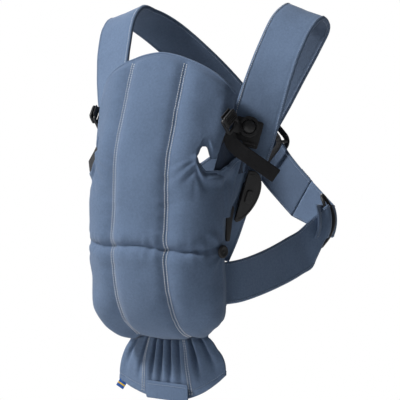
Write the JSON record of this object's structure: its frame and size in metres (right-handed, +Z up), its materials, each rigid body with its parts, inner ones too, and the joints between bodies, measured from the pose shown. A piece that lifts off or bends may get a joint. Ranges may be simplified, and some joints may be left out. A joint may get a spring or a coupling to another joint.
{
  "type": "soft baby carrier",
  "caption": "Front-worn soft baby carrier: padded panel with folding head support, crossed shoulder straps, waist belts, side rings, clasps and buttons.",
  "frame": {"origin": "midway between the crowns of the two shoulder loops", "axes": "+Z up along the carrier, -Y to the front where the baby hangs, +X to the wearer's left"},
  "size_m": [0.3614, 0.3314, 0.5584],
  "materials": {
    "panel_cloth": "matt fine jersey in slate blue with pale double stitching",
    "strap_cloth": "matt woven cotton in slate blue",
    "lining_cloth": "dark blue matt mesh lining",
    "padding": "pale foam padding, hidden between the cloths",
    "tag_cloth": "woven satin tag",
    "black_plastic": "fine moulded texture",
    "black_webbing": "plain woven webbing"
  },
  "bodies": {
    "harness": {"chest_panel_center": "panel_cloth", "chest_panel_side_left": "panel_cloth", "chest_panel_side_right": "panel_cloth", "chest_panel_padding": "padding", "chest_panel_lining": "lining_cloth", "seat_panel_center": "panel_cloth", "seat_panel_side_left": "panel_cloth", "seat_panel_side_right": "panel_cloth", "seat_panel_padding": "padding", "seat_panel_lining": "lining_cloth", "arm_wing_left": "panel_cloth", "arm_wing_right": "panel_cloth", "crotch_panel": "lining_cloth", "shoulder_strap_left": "strap_cloth", "shoulder_strap_right": "strap_cloth", "harness_base": "strap_cloth", "ring_loop_left": "strap_cloth", "ring_loop_right": "strap_cloth", "waist_belt_left": "strap_cloth", "waist_belt_right": "strap_cloth", "cross_clip_outer": "black_plastic", "cross_clip_inner": "black_plastic", "button_plate_left": "black_plastic", "button_plate_right": "black_plastic", "clasp_receiver_left": "black_plastic", "clasp_receiver_right": "black_plastic", "side_clasp_left": "black_plastic", "side_clasp_right": "black_plastic", "clasp_tongue_left": "black_plastic", "clasp_tongue_right": "black_plastic"},
    "head_support": {"head_support_center": "panel_cloth", "head_support_side_left": "panel_cloth", "head_support_side_right": "panel_cloth", "head_support_padding": "padding", "head_support_lining": "lining_cloth", "hook_plate_left": "black_plastic", "hook_plate_right": "black_plastic", "corner_webbing_left": "black_webbing", "corner_webbing_right": "black_webbing", "webbing_tail_left": "black_webbing", "webbing_tail_right": "black_webbing"},
    "apron": {"apron": "panel_cloth", "apron_tab": "panel_cloth", "side_tag": "tag_cloth"},
    "lever_left": {"adjuster_lever_left": "black_plastic"},
    "button_left": {"dome_button_left": "black_plastic"},
    "ring_left": {"strap_ring_left": "black_plastic"},
    "release_tab_left": {"clasp_release_tab_left": "black_plastic"},
    "leg_button_left": {"leg_button_left": "black_plastic", "leg_button_backing_left": "black_plastic"},
    "lever_right": {"adjuster_lever_right": "black_plastic"},
    "button_right": {"dome_button_right": "black_plastic"},
    "ring_right": {"strap_ring_right": "black_plastic"},
    "release_tab_right": {"clasp_release_tab_right": "black_plastic"},
    "leg_button_right": {"leg_button_right": "black_plastic", "leg_button_backing_right": "black_plastic"}
  },
  "joints": [
    {"name": "head_support_fold", "type": "hinge", "parent": "harness", "child": "head_support", "pos_m": [0, -0.1958, -0.191], "axis": [1, 0, 0], "range_deg": [0, 150]},
    {"name": "apron_swing", "type": "hinge", "parent": "harness", "child": "apron", "pos_m": [0, -0.1185, -0.4555], "axis": [1, 0, 0], "range_deg": [-20, 25]},
    {"name": "adjuster_lever_lift_left", "type": "hinge", "parent": "head_support", "child": "lever_left", "pos_m": [0.11328, -0.13973, -0.14697], "axis": [0.2198, 0.7304, 0.6467], "range_deg": [0, 40], "stiffness_Nm_per_rad": 0.02, "springref_deg": -11.46},
    {"name": "dome_button_press_left", "type": "slide", "parent": "head_support", "child": "button_left", "axis": [-0.5833, 0.8029, -0.1225], "range_m": [0, 0.002], "stiffness_N_per_m": 600, "springref_m": -0.002},
    {"name": "strap_ring_rock_left", "type": "hinge", "parent": "harness", "child": "ring_left", "pos_m": [0.158, 0.0585, -0.297], "axis": [-0.0205, 0.0796, 0.9966], "range_deg": [-3.5, 3.5]},
    {"name": "clasp_release_left", "type": "slide", "parent": "harness", "child": "release_tab_left", "axis": [-0.2916, -0.0478, -0.9553], "range_m": [0, 0.003], "stiffness_N_per_m": 300, "springref_m": -0.003},
    {"name": "leg_button_turn_left", "type": "hinge", "parent": "harness", "child": "leg_button_left", "pos_m": [0.10419, -0.15257, -0.32201], "axis": [0.9828, -0.1846, 0.0064], "continuous": true},
    {"name": "adjuster_lever_lift_right", "type": "hinge", "parent": "head_support", "child": "lever_right", "pos_m": [-0.11328, -0.13973, -0.14697], "axis": [0.2198, -0.7304, -0.6467], "range_deg": [0, 40], "stiffness_Nm_per_rad": 0.02, "springref_deg": -11.46},
    {"name": "dome_button_press_right", "type": "slide", "parent": "head_support", "child": "button_right", "axis": [0.5833, 0.8029, -0.1225], "range_m": [0, 0.002], "stiffness_N_per_m": 600, "springref_m": -0.002},
    {"name": "strap_ring_rock_right", "type": "hinge", "parent": "harness", "child": "ring_right", "pos_m": [-0.158, 0.0585, -0.297], "axis": [-0.0205, -0.0796, -0.9966], "range_deg": [-3.5, 3.5]},
    {"name": "clasp_release_right", "type": "slide", "parent": "harness", "child": "release_tab_right", "axis": [0.2916, -0.0478, -0.9553], "range_m": [0, 0.003], "stiffness_N_per_m": 300, "springref_m": -0.003},
    {"name": "leg_button_turn_right", "type": "hinge", "parent": "harness", "child": "leg_button_right", "pos_m": [-0.10419, -0.15257, -0.32201], "axis": [0.9828, 0.1846, -0.0064], "continuous": true}
  ]
}
